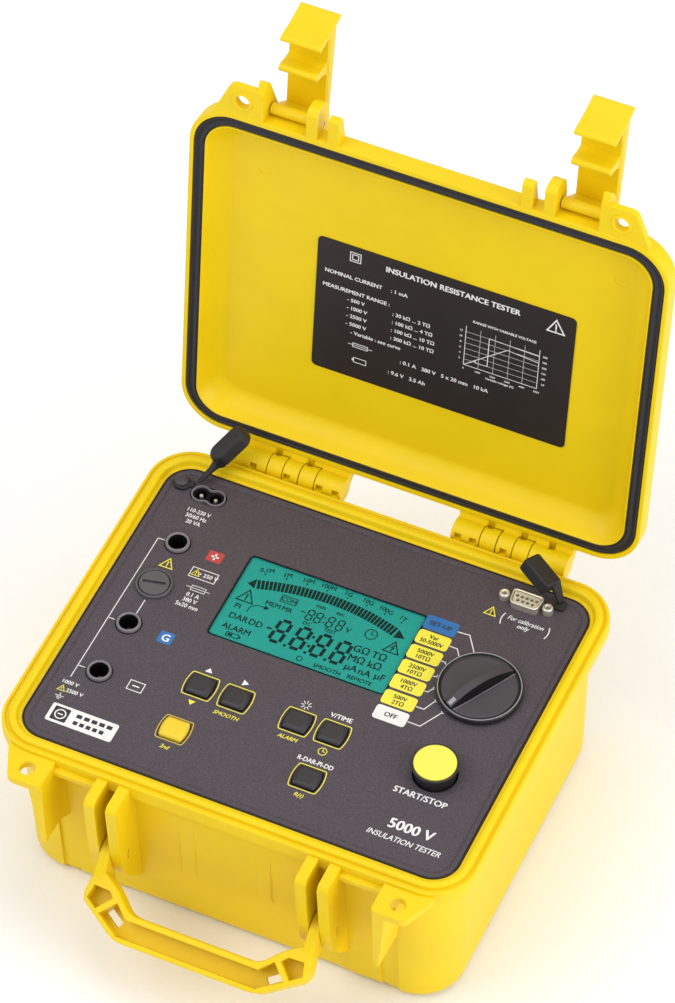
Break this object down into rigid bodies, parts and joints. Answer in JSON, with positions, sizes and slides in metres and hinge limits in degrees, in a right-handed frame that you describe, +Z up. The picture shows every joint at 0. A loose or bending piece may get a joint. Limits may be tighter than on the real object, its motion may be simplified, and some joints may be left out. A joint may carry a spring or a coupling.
{
  "type": "insulation resistance tester",
  "caption": "Portable insulation resistance tester in a rugged plastic case with a carrying handle and a hinged latched lid, shown open over its control panel.",
  "frame": {"origin": "centre of the underside, on the plane it rests on", "axes": "+Z up, -Y towards the user and the handle, +X to the right of the panel"},
  "size_m": [0.27, 0.3636, 0.3773],
  "materials": {
    "battery_pack": "sleeve",
    "case_base": "satin moulded plastic",
    "contact_guard": "plain",
    "contact_minus": "plain",
    "contact_plus": "plain",
    "display_board": "circuit board",
    "display_window": "clear",
    "front_panel": "fine texture",
    "fuse": "glazed",
    "fuse_cap": "satin",
    "fuse_carrier": "satin",
    "fuse_holder": "satin",
    "handle": "satin moulded plastic",
    "handle_pin_left": "plain",
    "handle_pin_right": "plain",
    "hinge_pin_left": "plain",
    "hinge_pin_right": "plain",
    "hv_module": "satin",
    "inlet_cap": "matt",
    "inlet_pin_left": "plain",
    "inlet_pin_right": "plain",
    "inlet_rivet": "plain",
    "inlet_strap": "matt",
    "jackscrew_left": "plain",
    "jackscrew_right": "plain",
    "key_light": "satin",
    "key_ratio": "satin",
    "key_right": "satin",
    "key_second": "satin",
    "key_up_down": "satin",
    "key_volts": "satin",
    "keypad_mat": "satin",
    "knob_pointer": "smooth",
    "latch_left": "satin moulded plastic",
    "latch_pin_left": "plain",
    "latch_pin_right": "plain",
    "latch_right": "satin moulded plastic",
    "lcd_module": "smooth",
    "lid": "satin moulded plastic",
    "lid_gasket": "matt",
    "main_board": "circuit board",
    "mains_inlet": "satin",
    "name_plate": "smooth",
    "panel_seal": "matt",
    "rating_label": "satin",
    "rotary_switch": "satin",
    "selector_knob": "satin",
    "selector_shaft": "plain",
    "serial_cap": "matt",
    "serial_connector": "plain",
    "serial_insert": "satin",
    "serial_strap": "matt",
    "start_button": "satin",
    "start_cap": "satin",
    "start_switch": "satin",
    "terminal_guard": "satin",
    "terminal_minus": "satin",
    "terminal_plus": "satin"
  },
  "bodies": {
    "case": {"battery_pack": "battery_pack", "case_base": "case_base", "contact_guard": "contact_guard", "contact_minus": "contact_minus", "contact_plus": "contact_plus", "display_board": "display_board", "display_window": "display_window", "front_panel": "front_panel", "fuse_holder": "fuse_holder", "handle_pin_left": "handle_pin_left", "handle_pin_right": "handle_pin_right", "hinge_pin_left": "hinge_pin_left", "hinge_pin_right": "hinge_pin_right", "hv_module": "hv_module", "inlet_pin_left": "inlet_pin_left", "inlet_pin_right": "inlet_pin_right", "inlet_rivet": "inlet_rivet", "inlet_strap": "inlet_strap", "jackscrew_left": "jackscrew_left", "jackscrew_right": "jackscrew_right", "keypad_mat": "keypad_mat", "lcd_module": "lcd_module", "main_board": "main_board", "mains_inlet": "mains_inlet", "name_plate": "name_plate", "panel_seal": "panel_seal", "rotary_switch": "rotary_switch", "serial_connector": "serial_connector", "serial_insert": "serial_insert", "serial_strap": "serial_strap", "start_switch": "start_switch", "terminal_guard": "terminal_guard", "terminal_minus": "terminal_minus", "terminal_plus": "terminal_plus"},
    "lid": {"lid": "lid", "lid_gasket": "lid_gasket", "rating_label": "rating_label", "latch_pin_left": "latch_pin_left", "latch_pin_right": "latch_pin_right"},
    "latch_left": {"latch_left": "latch_left"},
    "latch_right": {"latch_right": "latch_right"},
    "handle": {"handle": "handle"},
    "knob": {"selector_knob": "selector_knob", "knob_pointer": "knob_pointer", "selector_shaft": "selector_shaft"},
    "start": {"start_button": "start_button", "start_cap": "start_cap"},
    "fuse_slider": {"fuse_carrier": "fuse_carrier", "fuse": "fuse"},
    "fuse_cap": {"fuse_cap": "fuse_cap"},
    "inlet_cap": {"inlet_cap": "inlet_cap"},
    "serial_cap": {"serial_cap": "serial_cap"},
    "key_up_down": {"key_up_down": "key_up_down"},
    "key_right": {"key_right": "key_right"},
    "key_light": {"key_light": "key_light"},
    "key_volts": {"key_volts": "key_volts"},
    "key_ratio": {"key_ratio": "key_ratio"},
    "key_second": {"key_second": "key_second"}
  },
  "joints": [
    {"name": "lid_hinge", "type": "hinge", "parent": "case", "child": "lid", "pos_m": [0, 0.1185, 0.107], "axis": [1, 0, 0], "range_deg": [0, 98.5]},
    {"name": "latch_left_hinge", "type": "hinge", "parent": "lid", "child": "latch_left", "pos_m": [-0.0816, 0.16761, 0.33414], "axis": [1, 0, 0], "range_deg": [0, 106]},
    {"name": "latch_right_hinge", "type": "hinge", "parent": "lid", "child": "latch_right", "pos_m": [0.0816, 0.16761, 0.33414], "axis": [1, 0, 0], "range_deg": [0, 106]},
    {"name": "handle_swing", "type": "hinge", "parent": "case", "child": "handle", "pos_m": [0, -0.1168, 0.0588], "axis": [1, 0, 0], "range_deg": [-52, 0]},
    {"name": "selector_turn", "type": "hinge", "parent": "case", "child": "knob", "pos_m": [0.089, 0.0225, 0.108], "axis": [0, 0, -1], "range_deg": [0, 120]},
    {"name": "start_press", "type": "slide", "parent": "case", "child": "start", "axis": [0, 0, -1], "range_m": [0, 0.0025], "stiffness_N_per_m": 400},
    {"name": "fuse_slide", "type": "slide", "parent": "case", "child": "fuse_slider", "axis": [0, 0, -1], "range_m": [-0.034, 0]},
    {"name": "fuse_cap_turn", "type": "hinge", "parent": "fuse_slider", "child": "fuse_cap", "pos_m": [-0.0985, 0.0172, 0.108], "axis": [0, 0, -1], "range_deg": [-90, 0]},
    {"name": "inlet_cap_swing", "type": "hinge", "parent": "case", "child": "inlet_cap", "pos_m": [-0.107, 0.088, 0.11], "axis": [0, 0.5735, -0.8192], "range_deg": [0, 62]},
    {"name": "serial_cap_swing", "type": "hinge", "parent": "case", "child": "serial_cap", "pos_m": [0.1055, 0.091, 0.1096], "axis": [0.4975, -0.5648, 0.6584], "range_deg": [0, 35.6]},
    {"name": "key_up_down_press", "type": "slide", "parent": "case", "child": "key_up_down", "axis": [0, 0, -1], "range_m": [0, 0.001], "stiffness_N_per_m": 500},
    {"name": "key_right_press", "type": "slide", "parent": "case", "child": "key_right", "axis": [0, 0, -1], "range_m": [0, 0.001], "stiffness_N_per_m": 500},
    {"name": "key_light_press", "type": "slide", "parent": "case", "child": "key_light", "axis": [0, 0, -1], "range_m": [0, 0.001], "stiffness_N_per_m": 500},
    {"name": "key_volts_press", "type": "slide", "parent": "case", "child": "key_volts", "axis": [0, 0, -1], "range_m": [0, 0.001], "stiffness_N_per_m": 500},
    {"name": "key_ratio_press", "type": "slide", "parent": "case", "child": "key_ratio", "axis": [0, 0, -1], "range_m": [0, 0.001], "stiffness_N_per_m": 500},
    {"name": "key_second_press", "type": "slide", "parent": "case", "child": "key_second", "axis": [0, 0, -1], "range_m": [0, 0.001], "stiffness_N_per_m": 500}
  ],
  "couplings": [
    {"joint": "inlet_cap_swing", "follows": "lid_hinge", "ratio": 0.62908},
    {"joint": "serial_cap_swing", "follows": "lid_hinge", "ratio": 0.35989}
  ]
}
